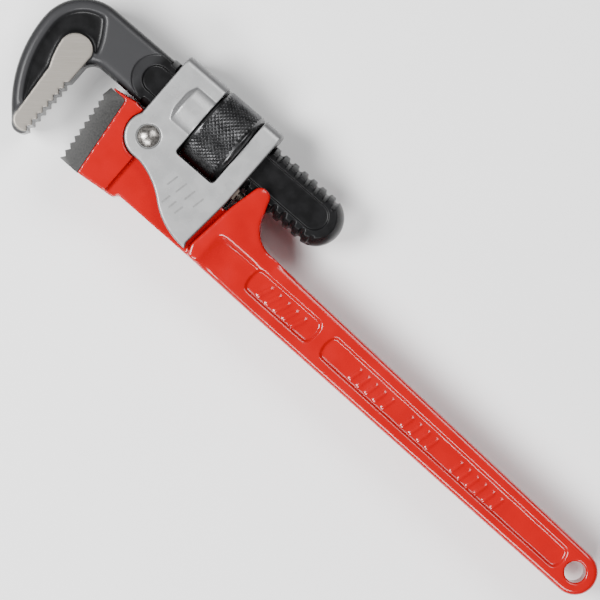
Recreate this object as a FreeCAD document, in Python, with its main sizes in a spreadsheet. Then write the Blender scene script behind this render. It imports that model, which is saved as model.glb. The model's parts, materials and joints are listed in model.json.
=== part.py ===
"""A heavy-duty pipe wrench, lying on its side.

Every body is drawn about one working point: the axis of the frame pin, halfway through the wrench's
thickness. X runs from the jaws to the tail, Y from the handle up to the hook jaw's shank, and Z through
the thickness. The placements then move the whole tool so that it lies on Z = 0, centred on X and Y.
All sizes are in millimetres and angles in degrees.
"""
import FreeCAD, Part
import os
import re

import Sketcher
from FreeCAD import Vector

SIZES = {
    "Shank of the hook jaw and its thread": [
        ("thread_axis", 19.5, "height of the shank's axis above the frame pin"),
        ("thread_radius", 11.55, "crest radius of the thread"),
        ("thread_depth", 1.45, "depth of the thread"),
        ("thread_pitch", 4.9, "advance of the jaw in one turn of the nut"),
        ("thread_gap", 0.25, "clearance between shank and nut, across the thread"),
        ("thread_turns", 17.5, "turns of the thread"),
        ("thread_lead", 8.55, "first groove ahead of the frame pin"),
        ("crest_half", 1.0, "half the width of the thread's crest"),
        ("groove_half", 1.15, "half the width of the groove at its shoulders"),
        ("groove_lip", 0.35, "depth of those shoulders"),
        ("ridge_half", 0.4, "half the width of the nut's ridge at its tip"),
        ("shank_half", 8.0, "half the width across the shank's flats, and of the handle's neck"),
        ("shank_end", 72.5, "centre of the round end of the shank"),
        ("slide_gap", 0.3, "clearance of shank and neck between the cheeks"),
        ("panel_half", 5.7, "half the height of the sunk panel on each flat"),
        ("panel_start", -13.0, "centre of the panel's front end"),
        ("panel_finish", 71.6, "centre of the panel's rear end"),
        ("panel_depth", 0.9, "depth of the panel"),
    ],
    "Hook of the upper jaw": [
        ("neck_half", 9.0, "half the thickness of the forged neck"),
        ("neck_rise", 10.6, "neck above the shank's axis"),
        ("neck_drop", 11.4, "neck below the shank's axis"),
        ("neck_round", 3.9, "rounding of the forging's long edges"),
        ("neck_end", -12.4, "where the neck gives way to the round shank"),
        ("flat_start", -13.4, "centre of the cutter's run-out at the front of the flats"),
        ("flat_radius", 9.9, "radius of that run-out"),
        ("crown_x", -45.0, "start of the bend, on the neck's top"),
        ("crown_mid_x", -58.6, "middle of the bend"),
        ("crown_mid_y", 4.3, "middle of the bend"),
        ("back_x", -64.4, "back of the hook"),
        ("back_y", -10.5, "height of the back of the hook"),
        ("flank_mid_x", -60.6, "middle of the long outer flank"),
        ("flank_mid_y", -30.0, "middle of the long outer flank"),
        ("flank_x", -50.6, "foot of the outer flank"),
        ("flank_y", -46.6, "foot of the outer flank"),
        ("toe_in_x", -46.6, "outer start of the toe's rounding"),
        ("toe_in_y", -51.1, "outer start of the toe's rounding"),
        ("toe_x", -42.6, "tip of the toe"),
        ("toe_y", -53.3, "tip of the toe"),
        ("face_x", -38.7, "plane of the upper jaw's teeth"),
        ("face_foot", -50.0, "lowest point of that plane"),
        ("throat_y", -17.0, "where the throat leaves that plane"),
        ("throat_mid_x", -37.0, "middle of the throat's curve"),
        ("throat_mid_y", -13.1, "middle of the throat's curve"),
        ("throat_x", -32.4, "end of the throat's curve, on the neck's underside"),
        ("ground_half", 10.2, "half the thickness over the ground side faces"),
        ("ground_front_y", -10.1, "ground face's front corner, above the throat"),
        ("ground_brow_x", -41.0, "middle of the curve from there to the top"),
        ("ground_brow_y", -6.8, "middle of the curve from there to the top"),
        ("ground_x", -46.0, "top of the ground face"),
        ("ground_y", -5.6, "top of the ground face"),
        ("ground_bend_x", -50.5, "middle of the curve from the top to the rearmost point"),
        ("ground_bend_y", -7.8, "middle of the curve from the top to the rearmost point"),
        ("ground_back_x", -52.3, "rearmost point of the ground face"),
        ("ground_back_y", -13.0, "rearmost point of the ground face"),
        ("ground_hip_x", -51.2, "middle of the curve from there to the waist"),
        ("ground_hip_y", -18.5, "middle of the curve from there to the waist"),
        ("ground_waist_x", -49.0, "waist of the ground face"),
        ("ground_waist_y", -24.5, "waist of the ground face"),
        ("ground_low_x", -47.2, "lower end of the ground face's rear edge"),
        ("ground_low_y", -46.0, "lower end of the ground face's rear edge"),
        ("ground_toe_x", -43.8, "middle of the ground face's rounded toe"),
        ("ground_toe_y", -51.6, "middle of the ground face's rounded toe"),
        ("valley_front_x", -37.5, "front end of the hollow between rim and ground face"),
        ("valley_front_y", -8.2, "front end of that hollow"),
        ("valley_bend_x", -41.0, "middle of the hollow's front curve"),
        ("valley_bend_y", -0.2, "middle of the hollow's front curve"),
        ("valley_depth", 1.9, "depth of the hollow"),
        ("valley_wall", 5.2, "width of the rim outside the hollow"),
        ("valley_under", 3.0, "how far the hollow runs on under the ground face"),
        ("crown_lean", 44.0, "direction of the rim's width at the middle of the bend"),
        ("flank_lean", 11.5, "direction of the rim's width at the middle of the flank"),
    ],
    "Teeth": [
        ("hook_tooth_pitch", 3.3, "pitch of the hook jaw's teeth"),
        ("hook_tooth_depth", 1.6, "depth of the hook jaw's teeth"),
        ("hook_tooth_first", -25.4, "height of the hook jaw's first gullet"),
        ("hook_tooth_count", 8, "gullets in the hook jaw"),
        ("tooth_land", 0.1, "half the width of the flat left on each tooth"),
        ("heel_tooth_pitch", 3.41, "pitch of the lower jaw's teeth"),
        ("heel_tooth_depth", 1.45, "depth of the lower jaw's teeth"),
        ("heel_tooth_count", 9, "gullets in the lower jaw"),
        ("tooth_reach", 0.8, "how far the cutter stands clear of the teeth"),
    ],
    "Lower jaw insert": [
        ("heel_x", -25.2, "tip of the first tooth"),
        ("heel_y", 0.8, "height of the first tooth"),
        ("heel_lean", 6.87, "lean of the row of teeth"),
        ("heel_depth", 8.9, "teeth to seat"),
        ("heel_half", 10.0, "half the width of the insert"),
        ("heel_chin_x", 1.3, "front of the top edge"),
        ("heel_chin_y", 4.1, "front of the top edge"),
        ("heel_crown_y", 3.2, "rear of the top edge"),
        ("heel_crown_round", 1.3, "rounding of the rear of the top edge"),
        ("heel_foot", 31.0, "first tooth to the foot, at the teeth"),
        ("heel_heel", 32.1, "first tooth to the foot, at the seat"),
        ("tongue_depth", 4.6, "how far the tongue reaches into the handle"),
        ("tongue_half", 4.0, "half the thickness of the tongue"),
        ("tongue_top", 3.5, "top of the tongue below the first tooth"),
        ("tongue_foot", 25.5, "foot of the tongue below the first tooth"),
        ("seat_gap", 0.1, "clearance round insert and tongue"),
        ("jaw_pin_radius", 1.5, "radius of the pin through the tongue"),
        ("jaw_pin_drop", 14.5, "pin below the first tooth"),
        ("jaw_pin_depth", 15.5, "length of the pin, in from the far side"),
        ("jaw_pin_gap", 0.03, "clearance round that pin"),
    ],
    "Adjusting nut": [
        ("nut_radius", 16.7, "outer radius of the nut"),
        ("nut_width", 19.2, "length of the nut"),
        ("nut_round", 2.2, "rounding of the nut's rims"),
        ("nut_side_gap", 0.35, "clearance at each end of the nut"),
        ("nut_floor_gap", 0.6, "clearance under the nut"),
        ("nut_mouth", 1.0, "chamfer at each end of the nut's thread"),
    ],
    "Frame": [
        ("front_reach", 8.3, "front face ahead of the pin"),
        ("front_band", 20.5, "length of the front band"),
        ("rear_band", 9.2, "length of the rear band"),
        ("roof", 4.65, "thickness of the roof over the shank"),
        ("cheek", 4.7, "thickness of a cheek"),
        ("rear_floor", 5.35, "thickness of the floor under the shank in the rear band"),
        ("lug_radius", 9.9, "radius of the cheeks round the pin"),
        ("roof_round", 4.4, "rounding of the roof's long edges"),
        ("tunnel_round", 1.2, "rounding of the tunnel's corners"),
        ("cast_round", 0.8, "rounding of the cheeks' outlines"),
        ("window_round", 1.5, "rounding of the window's lower corners"),
        ("swell_start_x", 3.2, "front end of the cheeks' lower contour"),
        ("swell_mid_x", 10.4, "middle of the contour's first bend"),
        ("swell_mid_y", -11.9, "middle of the contour's first bend"),
        ("swell_x", 20.0, "turning point of the cheeks' lower contour"),
        ("swell_y", -17.9, "turning point of the cheeks' lower contour"),
        ("sweep_mid_x", 29.9, "middle of the contour's second bend"),
        ("sweep_mid_y", -23.3, "middle of the contour's second bend"),
        ("cheek_tip_in", 0.7, "rear tip of the cheeks, ahead of the rear face"),
        ("cheek_tip_y", -25.0, "rear tip of the cheeks"),
        ("cheek_foot_in", 1.9, "foot of the cheeks' rear edge, ahead of the rear face"),
        ("cheek_foot_y", -22.6, "foot of the cheeks' rear edge"),
        ("cheek_bend_y", 0.5, "where that edge leaves the upright"),
        ("mouth_depth", 5.0, "depth of the wider mouth that the neck enters"),
        ("boss_radius", 15.7, "radius of the swelling in front of the nut"),
        ("boss_start", 0.6, "front of that swelling"),
        ("boss_ramp", 1.7, "length of its sloping front"),
    ],
    "Frame pin": [
        ("pin_radius", 4.0, "radius of the pin"),
        ("pin_gap", 0.05, "running clearance in the handle"),
        ("pin_head_radius", 4.6, "radius of the riveted heads"),
        ("pin_head_rise", 1.3, "height of their domes above the cheeks"),
        ("pin_sink", 0.9, "depth of the seats that the heads are closed into"),
        ("pin_seat_gap", 0.35, "ring left open round each head"),
    ],
    "Handle": [
        ("eye_radius", 6.9, "handle round the pin"),
        ("saddle_front_x", 12.5, "front end of the saddle"),
        ("saddle_front_drop", 2.0, "front end of the saddle, below the window's floor"),
        ("saddle_rear_x", 1.8, "rear end of the saddle, behind the frame"),
        ("saddle_rear_drop", 4.7, "rear end of the saddle, below the window's floor"),
        ("horn_front_x", 4.9, "front of the horn's tip, behind the frame"),
        ("horn_front_y", 11.0, "front of the horn's tip"),
        ("horn_tip_x", 8.9, "tip of the horn, behind the frame"),
        ("horn_tip_y", 15.0, "tip of the horn"),
        ("horn_rear_x", 13.0, "rear of the horn's tip, behind the frame"),
        ("horn_rear_y", 11.2, "rear of the horn's tip"),
        ("horn_back_x", 14.7, "horn's rear edge, above its long curve, behind the frame"),
        ("horn_back_y", 6.8, "horn's rear edge, above its long curve"),
        ("horn_curve_x", 19.1, "middle of the horn's rear curve, behind the frame"),
        ("horn_curve_y", -0.9, "middle of the horn's rear curve"),
        ("grip_start_x", 29.2, "front end of the grip's upper edge, behind the frame"),
        ("grip_start_y", -4.2, "front end of the grip's upper edge"),
        ("belly_x", 38.7, "front end of the grip's lower edge, behind the frame"),
        ("belly_y", -27.3, "front end of the grip's lower edge"),
        ("chin_x", 6.0, "front end of the neck's lower edge"),
        ("chin_y", -26.0, "front end of the neck's lower edge"),
        ("throat_low_x", 0.7, "rear end of the neck's lower edge, behind the frame"),
        ("throat_low_y", -26.3, "rear end of the neck's lower edge"),
        ("head_low_x", 4.6, "rear end of the head's foot"),
        ("head_low_y", -28.2, "rear end of the head's foot"),
        ("tail_x", 245.7, "centre of the round tail"),
        ("tail_y", -20.5, "centre of the round tail"),
        ("tail_radius", 9.4, "radius of the tail"),
        ("hang_radius", 4.35, "radius of the hole to hang it by"),
        ("hang_round", 0.8, "rounding of that hole's rims"),
        ("head_top_x", -13.0, "highest point of the head"),
        ("head_top_y", 7.4, "highest point of the head"),
        ("head_slope_x", -17.6, "middle of the head's sloping top"),
        ("head_slope_y", 6.55, "middle of the head's sloping top"),
        ("lip_front", 2.4, "front of the lip over the insert, behind the first tooth"),
        ("lip_thick", 0.75, "thickness of that lip, at its front"),
        ("notch_x", -10.9, "rear corner of the head's top"),
        ("notch_y", 6.9, "rear corner of the head's top"),
        ("head_half", 10.6, "half the thickness of the head"),
        ("grip_half", 7.7, "half the thickness of the grip"),
        ("horn_half", 12.0, "half the thickness of the horn's root"),
        ("taper_start", 8.7, "where the root begins to thin down, behind the frame"),
        ("taper_end", 31.7, "where it has come down to the grip, behind the frame"),
        ("head_back", 0.6, "rear of the thick part of the head"),
        ("lug_gap", 0.4, "clearance between the head and the cheeks' round front"),
        ("shoulder_x", 2.4, "shoulder, level with the pin, behind the frame"),
        ("shoulder_low_x", -0.1, "shoulder, low on the cheeks' rear edge, behind the frame"),
        ("shoulder_low_y", -21.8, "shoulder, low on the cheeks' rear edge"),
        ("shoulder_foot_x", 1.9, "foot of the shoulder, behind the frame"),
        ("scoop_x", 5.7, "front of the hollow under the horn's rib, behind the frame"),
        ("scoop_mid_x", 11.0, "middle of that hollow's curved floor, behind the frame"),
        ("scoop_mid_z", 8.9, "half thickness there"),
        ("scoop_end", 18.7, "where its floor meets the grip, behind the frame"),
        ("scoop_top", -11.2, "upper edge of the hollow"),
        ("grip_round", 2.0, "rounding of the grip's long edges"),
        ("head_round", 1.0, "rounding of the head's edges"),
        ("slot_gap", 2.4, "room under the shank in the slot that it passes through"),
    ],
    "Panels of the grip": [
        ("badge_front", 28.0, "front end of the short panel, behind the frame"),
        ("badge_rear", 61.1, "rear end of the short panel, behind the frame"),
        ("badge_top", -10.9, "upper edge of the short panel"),
        ("badge_foot", -21.2, "lower edge of the short panel"),
        ("badge_fall", 0.4, "how much further the rear end lies from the axis"),
        ("badge_bow", 1.1, "bulge of the short panel's ends"),
        ("long_front", 69.1, "front end of the long panel, behind the frame"),
        ("long_rear", 8.5, "rear end of the long panel, ahead of the tail's centre"),
        ("long_top_front", -11.9, "upper edge at the front"),
        ("long_top_rear", -15.7, "upper edge at the rear"),
        ("long_foot_front", -22.1, "lower edge at the front"),
        ("long_foot_rear", -25.0, "lower edge at the rear"),
        ("long_bow", 1.6, "bulge of the long panel's ends"),
        ("recess", 1.1, "depth of both panels"),
        ("recess_round", 0.7, "rounding of the panels' rims"),
        ("recess_corner", 2.6, "corner radius of the panels"),
    ],
    "Springs": [
        ("leaf_thick", 0.8, "thickness of the flat spring"),
        ("leaf_half", 4.0, "half the width of the flat spring"),
        ("leaf_gap", 0.3, "clearance round the flat spring, and under the shank"),
        ("leaf_tab", 3.9, "length of its turned-down tab"),
        ("leaf_front_gap", 0.6, "front end of the flat spring behind the window"),
        ("spring_drop", 2.3, "coil spring's axis below the tunnel's floor"),
        ("wire_radius", 0.36, "radius of the spring wire"),
        ("coil_radius", 1.7, "mean radius of the coil"),
        ("coil_turns", 5, "turns of the coil"),
        ("coil_pocket", 1.7, "depth of the coil's seat in the horn"),
        ("coil_gap", 0.15, "clearance round the coil in its seat and at its ends"),
        ("rivet_radius", 0.7, "radius of the spring's rivet"),
        ("rivet_head", 1.15, "radius of its head, inside the coil"),
        ("rivet_rise", 0.6, "height of its head"),
        ("rivet_length", 4.5, "length of its shank in the frame"),
    ],
}

doc = FreeCAD.newDocument("pipe_wrench")
names = {name for group in SIZES.values() for name, _, _ in group}
volumes = {}         # each body's volume after its latest feature


# ---------------------------------------------------------------- the sheet and its expressions

def write_sheet():
    """Writes every size as a plain number, with its name as the cell's alias and a note beside it."""
    sheet = doc.addObject("Spreadsheet::Sheet", "sizes")
    row = 1
    for group, rows in SIZES.items():
        sheet.set(f"A{row}", group)
        row += 1
        for name, size, note in rows:
            sheet.set(f"A{row}", name)
            sheet.set(f"B{row}", str(size))
            sheet.set(f"C{row}", note)
            sheet.setAlias(f"B{row}", name)
            row += 1
    doc.recompute()


def bound(text):
    """The text of a formula, with each size's name pointing at its cell."""
    return re.sub(r"[a-z_][a-z_0-9]*", lambda m: f"sizes.{m[0]}" if m[0] in names else m[0], str(text))


def reckon(text):
    """The number that a formula on the sizes gives."""
    if not hasattr(slate, "result"):
        slate.addProperty("App::PropertyFloat", "result")
    slate.setExpression("result", bound(text))
    doc.recompute([slate])
    return slate.result


def bind(thing, prop, text):
    """Ties one property of a document object to a formula on the sizes."""
    thing.setExpression(prop, bound(text))


# Places that several pieces share, as formulas on the sizes.
TUNNEL_HALF = "(thread_radius + slide_gap)"
INNER = "(shank_half + slide_gap)"
OUTER = f"({INNER} + cheek)"
ROOF_TOP = f"(thread_axis + {TUNNEL_HALF} + roof)"
TUNNEL_FLOOR = f"(thread_axis - {TUNNEL_HALF})"
FLOOR_UNDER = f"({TUNNEL_FLOOR} - rear_floor)"
WINDOW_START = "(front_band - front_reach)"
WINDOW_END = f"({WINDOW_START} + nut_width + 2 * nut_side_gap)"
WINDOW_FLOOR = "(thread_axis - nut_radius - nut_floor_gap)"
FRAME_REAR = f"({WINDOW_END} + rear_band)"
TAB_FACE = f"({FRAME_REAR} + leaf_thick)"
LUG_CLEAR = "(lug_radius + lug_gap)"
SPRING_AXIS = f"({TUNNEL_FLOOR} - spring_drop)"
SADDLE_REAR = f"({WINDOW_FLOOR} - saddle_rear_drop)"
HORN_SLOPE = f"(horn_front_x - saddle_rear_x) / (horn_front_y - {SADDLE_REAR})"
HORN_FACE = f"({FRAME_REAR} + saddle_rear_x + {HORN_SLOPE} * ({SPRING_AXIS} - {SADDLE_REAR}))"
CLEAR = 400          # reach of a cut that passes right through, in millimetres
SPARE = 1            # how far a cut runs on past a face that it opens, in millimetres
NEAR = 0.01          # lengths closer than this are the same, in millimetres
SLACK = 0.1          # lengths further apart than this are different, in millimetres


def aft(name):
    """A place given by its distance behind the frame's rear face."""
    return f"({FRAME_REAR} + {name})"


def leaned(along, up):
    """A point given in the lower jaw's own leaning axes, as formulas for X and Y."""
    turn = "heel_lean * 1 deg"
    return (f"heel_x + ({along}) * cos({turn}) - ({up}) * sin({turn})",
            f"heel_y + ({along}) * sin({turn}) + ({up}) * cos({turn})")


JAW_PIN = leaned("heel_depth + tongue_depth / 2", "-jaw_pin_drop")


# ---------------------------------------------------------------- sketching and features

def new_body(name):
    body = doc.addObject("PartDesign::Body", name)
    body.Label = name
    return body


def datum(body, role):
    return next(f for f in body.Origin.OriginFeatures if f.Role == role)


def new_sketch(body, name, plane="XY_Plane", lift=None, rise=None):
    """A sketch on one of the body's own planes, moved by formulas along its normal and up its own axis."""
    sketch = body.newObject("Sketcher::SketchObject", name)
    sketch.AttachmentSupport = (datum(body, plane), [""])
    sketch.MapMode = "FlatFace"
    if lift is not None:
        bind(sketch, "AttachmentOffset.Base.z", lift)
    if rise is not None:
        bind(sketch, "AttachmentOffset.Base.y", rise)
    return sketch


def pin_down(sketch, shape, end, place):
    """Holds one point of a sketch at a place given by two formulas."""
    for kind, text in zip(("DistanceX", "DistanceY"), place):
        number = sketch.addConstraint(Sketcher.Constraint(kind, -1, 1, shape, end, reckon(text)))
        bind(sketch, f"Constraints[{number}]", text)


def outline(sketch, path):
    """Draws a closed outline. Each step is a corner (x, y), or a pair (middle, corner) for an arc to it."""
    corners = [step[1] if isinstance(step[0], tuple) else step for step in path]
    spots = [Vector(reckon(x), reckon(y), 0) for x, y in corners]
    heads, tails = [], []
    for number, step in enumerate(path):
        first, last = spots[number - 1], spots[number]
        if isinstance(step[0], tuple):
            middle = Vector(reckon(step[0][0]), reckon(step[0][1]), 0)
            leftward = (middle - first).cross(last - middle).z > 0
            arc = Part.Arc(first, middle, last) if leftward else Part.Arc(last, middle, first)
            shape = sketch.addGeometry(arc, False)
            heads.append((shape, 1 if leftward else 2))
            tails.append((shape, 2 if leftward else 1))
            guide = sketch.addGeometry(Part.Point(middle), True)
            pin_down(sketch, guide, 1, step[0])
            sketch.addConstraint(Sketcher.Constraint("PointOnObject", guide, 1, shape))
        else:
            shape = sketch.addGeometry(Part.LineSegment(first, last), False)
            heads.append((shape, 1))
            tails.append((shape, 2))
    for number, place in enumerate(corners):
        after = (number + 1) % len(path)
        sketch.addConstraint(Sketcher.Constraint("Coincident", *tails[number], *heads[after]))
        pin_down(sketch, *tails[number], place)


def circle(sketch, x, y, radius):
    shape = sketch.addGeometry(Part.Circle(Vector(reckon(x), reckon(y), 0), Vector(0, 0, 1), reckon(radius)))
    pin_down(sketch, shape, 3, (x, y))
    number = sketch.addConstraint(Sketcher.Constraint("Radius", shape, reckon(radius)))
    bind(sketch, f"Constraints[{number}]", radius)


def rectangle(sketch, left, low, right, high):
    outline(sketch, [(left, low), (right, low), (right, high), (left, high)])


def settle(feature, removes=None):
    """Recomputes, and stops if the feature failed or didn't change the volume the way it should."""
    body = feature.getParentGeoFeatureGroup()
    body.Tip = feature
    doc.recompute()
    if "Invalid" in feature.State or feature.Shape.isNull():
        raise RuntimeError(f"{body.Label}: {feature.Label} failed")
    change = feature.Shape.Volume - volumes.get(body.Name, 0.0)
    volumes[body.Name] = feature.Shape.Volume
    if removes is not None and (change < 0) != removes:
        raise RuntimeError(f"{body.Label}: {feature.Label} changed the volume by {change:.2f}")
    return feature


def pad(body, sketch, half):
    """Raises a sketch by the same amount on both sides of its plane."""
    feature = body.newObject("PartDesign::Pad", sketch.Name + "_pad")
    feature.Profile = sketch
    feature.SideType = "Symmetric"
    bind(feature, "Length", f"2 * ({half})")
    return settle(feature, removes=False)


def cut_through(body, sketch, half=None):
    """Cuts a sketch out on both sides of its plane, right through or as deep as half says."""
    feature = body.newObject("PartDesign::Pocket", sketch.Name + "_cut")
    feature.Profile = sketch
    feature.SideType = "Symmetric"
    if half is None:
        feature.Length = CLEAR
    else:
        bind(feature, "Length", f"2 * ({half})")
    return settle(feature, removes=True)


def cut_one_way(body, sketch, depth=None, forward=False):
    """Cuts a sketch out against its normal, or along it when forward, for a depth or right through."""
    feature = body.newObject("PartDesign::Pocket", sketch.Name + "_cut")
    feature.Profile = sketch
    feature.Reversed = forward
    if depth is None:
        feature.Length = CLEAR
    else:
        bind(feature, "Length", depth)
    return settle(feature, removes=True)


def relieve(body, name, level, draw):
    """Cuts away what stands further than a level from the mid-plane inside an outline, on both sides."""
    sketch = new_sketch(body, name, lift=level)
    draw(sketch)
    return mirror(body, cut_one_way(body, sketch, forward=True))


def mirror(body, feature):
    """Repeats a feature on the other side of the mid-plane."""
    copy = body.newObject("PartDesign::Mirrored", feature.Name + "_mirror")
    copy.Originals = [feature]
    copy.MirrorPlane = (datum(body, "XY_Plane"), [""])
    return settle(copy)


def turn(body, sketch, axis="H_Axis"):
    """Revolves a sketch about one of its own axes."""
    feature = body.newObject("PartDesign::Revolution", sketch.Name + "_turned")
    feature.Profile = sketch
    feature.ReferenceAxis = (sketch, [axis])
    feature.Angle = 360
    return settle(feature, removes=False)


def wind(body, sketch, pitch, turns, removes):
    """Carries a sketch round its own level axis as a right-hand helix, cutting a groove or adding a coil."""
    kind = "SubtractiveHelix" if removes else "AdditiveHelix"
    feature = body.newObject(f"PartDesign::{kind}", sketch.Name + "_helix")
    feature.Profile = sketch
    feature.ReferenceAxis = (sketch, ["H_Axis"])
    feature.Mode = "pitch-turns-angle"
    bind(feature, "Pitch", pitch)
    bind(feature, "Turns", turns)
    return settle(feature, removes=removes)


def round_edges(body, name, radius, wanted):
    """Rounds the body's edges that a test on an edge picks out."""
    feature = body.newObject("PartDesign::Fillet", name)
    base = body.Tip if body.Tip is not feature else feature.BaseFeature
    picked = [f"Edge{n}" for n, edge in enumerate(base.Shape.Edges, 1) if wanted(edge)]
    if not picked:
        raise RuntimeError(f"{body.Label}: {name} found no edges")
    feature.Base = (base, picked)
    bind(feature, "Radius", radius)
    return settle(feature)


def repeat(body, feature, axis, count, pitch, reverse=False):
    """Repeats a feature in a row along one of its sketch's axes."""
    row = body.newObject("PartDesign::LinearPattern", feature.Name + "_row")
    row.Originals = [feature]
    row.Direction = (feature.Profile[0], [axis])
    row.Reversed = reverse
    bind(row, "Occurrences", count)
    bind(row, "Length", f"({count} - 1) * {pitch}")
    return settle(row, removes=True)


def place(body, x="0", y="0", z="0"):
    """Puts a body where it belongs, with the whole wrench moved to its resting place."""
    bind(body, "Placement.Base.x", f"{x} - (tail_x + tail_radius + back_x) / 2")
    bind(body, "Placement.Base.y", f"{y} - (thread_axis + nut_radius + thread_axis + toe_y) / 2")
    bind(body, "Placement.Base.z", f"{z} + nut_radius")


def upright(edge):
    """True for an edge that runs through the thickness."""
    return edge.BoundBox.ZLength > SLACK and max(edge.BoundBox.XLength, edge.BoundBox.YLength) < NEAR


def level_edge(edge, height):
    """True for an edge that lies at this distance from the mid-plane, on either side."""
    box = edge.BoundBox
    return box.ZLength < NEAR and abs(abs(box.ZMin) - height) < NEAR


def dome(radius, rise):
    """The radius of the ball that a low dome is cut from."""
    return f"((({radius}) ^ 2 + ({rise}) ^ 2) / (2 * ({rise})))"


# ---------------------------------------------------------------- hook jaw and nut

def teeth(body, face, first, pitch, depth, count, way=""):
    """A row of V-shaped gullets down a face, open towards +X, or towards -X when way is a minus."""
    gullet = new_sketch(body, "gullet")
    spread = f"({pitch} / 2 - tooth_land) * ({depth} + tooth_reach) / {depth}"
    outline(gullet, [
        (f"{face} + {way}tooth_reach", f"{first} + {spread}"),
        (f"{face} - {way}{depth}", first),
        (f"{face} + {way}tooth_reach", f"{first} - {spread}"),
    ])
    repeat(body, cut_through(body, gullet), "V_Axis", count, pitch, reverse=True)


def make_hook_jaw():
    """The forged upper jaw: a hook, a neck and a threaded shank with two flats. X is the shank's axis."""
    body = new_body("hook_jaw")
    forging = new_sketch(body, "forging")
    outline(forging, [
        ("neck_end", "neck_rise"),
        ("crown_x", "neck_rise"),
        (("crown_mid_x", "crown_mid_y"), ("back_x", "back_y")),
        (("flank_mid_x", "flank_mid_y"), ("flank_x", "flank_y")),
        ("toe_in_x", "toe_in_y"),
        (("toe_x", "toe_y"), ("face_x", "face_foot")),
        ("face_x", "throat_y"),
        (("throat_mid_x", "throat_mid_y"), ("throat_x", "-neck_drop")),
        ("neck_end", "-neck_drop"),
    ])
    pad(body, forging, "neck_half")
    rear, skin = reckon("neck_end"), reckon("neck_half")
    round_edges(body, "forging_round", "neck_round",
                lambda edge: level_edge(edge, skin) and edge.BoundBox.XMin < rear - NEAR)

    def hollow(sketch):
        outline(sketch, [
            ("valley_front_x", "valley_front_y"),
            (("valley_bend_x", "valley_bend_y"), ("crown_x", "neck_rise - valley_wall")),
            (("crown_mid_x + valley_wall * cos(crown_lean * 1 deg)",
              "crown_mid_y - valley_wall * sin(crown_lean * 1 deg)"),
             ("back_x + valley_wall", "back_y")),
            (("flank_mid_x + valley_wall * cos(flank_lean * 1 deg)",
              "flank_mid_y + valley_wall * sin(flank_lean * 1 deg)"),
             ("ground_low_x", "ground_low_y + valley_under")),
            ("ground_x + valley_under", "ground_low_y + valley_under"),
            ("ground_x + valley_under", "valley_front_y"),
        ])
    relieve(body, "hollow", "neck_half - valley_depth", hollow)

    ground = new_sketch(body, "ground")
    outline(ground, [
        ("face_x", "ground_front_y"),
        (("ground_brow_x", "ground_brow_y"), ("ground_x", "ground_y")),
        (("ground_bend_x", "ground_bend_y"), ("ground_back_x", "ground_back_y")),
        (("ground_hip_x", "ground_hip_y"), ("ground_waist_x", "ground_waist_y")),
        ("ground_low_x", "ground_low_y"),
        (("ground_toe_x", "ground_toe_y"), ("face_x", "face_foot")),
    ])
    pad(body, ground, "ground_half")

    shank = new_sketch(body, "shank")
    outline(shank, [
        ("neck_end - neck_round", "0"),
        ("shank_end + thread_radius", "0"),
        (("shank_end + thread_radius * sin(45 deg)", "thread_radius * sin(45 deg)"),
         ("shank_end", "thread_radius")),
        ("neck_end", "thread_radius"),
        ("neck_end", "neck_rise"),
        ("neck_end - neck_round", "neck_rise - neck_round"),
    ])
    turn(body, shank)

    def flats(sketch):
        outline(sketch, [
            ("flat_start", "flat_radius"),
            (("flat_start - flat_radius", "0"), ("flat_start", "-flat_radius")),
            ("neck_end", "-flat_radius"),
            ("neck_end", "-2 * thread_radius"),
            ("shank_end + 2 * thread_radius", "-2 * thread_radius"),
            ("shank_end + 2 * thread_radius", "2 * thread_radius"),
            ("neck_end", "2 * thread_radius"),
            ("neck_end", "flat_radius"),
        ])
    relieve(body, "flats", "shank_half", flats)

    def panel(sketch):
        outline(sketch, [
            ("panel_finish", "-panel_half"),
            (("panel_finish + panel_half", "0"), ("panel_finish", "panel_half")),
            ("panel_start", "panel_half"),
            (("panel_start - panel_half", "0"), ("panel_start", "-panel_half")),
        ])
    relieve(body, "panel", "shank_half - panel_depth", panel)
    teeth(body, "face_x", "hook_tooth_first", "hook_tooth_pitch", "hook_tooth_depth", "hook_tooth_count")

    groove = new_sketch(body, "thread")
    shoulder = "(thread_pitch / 2 - crest_half)"
    outline(groove, [
        (f"-thread_lead + 2 * {shoulder} - groove_half", "thread_radius + groove_lip"),
        (f"-thread_lead - 2 * {shoulder} + groove_half", "thread_radius + groove_lip"),
        ("-thread_lead - groove_half", "thread_radius - groove_lip"),
        (("-thread_lead", "thread_radius - thread_depth"),
         ("-thread_lead + groove_half", "thread_radius - groove_lip")),
    ])
    wind(body, groove, "thread_pitch", "thread_turns", removes=True)
    place(body, y="thread_axis")


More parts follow.
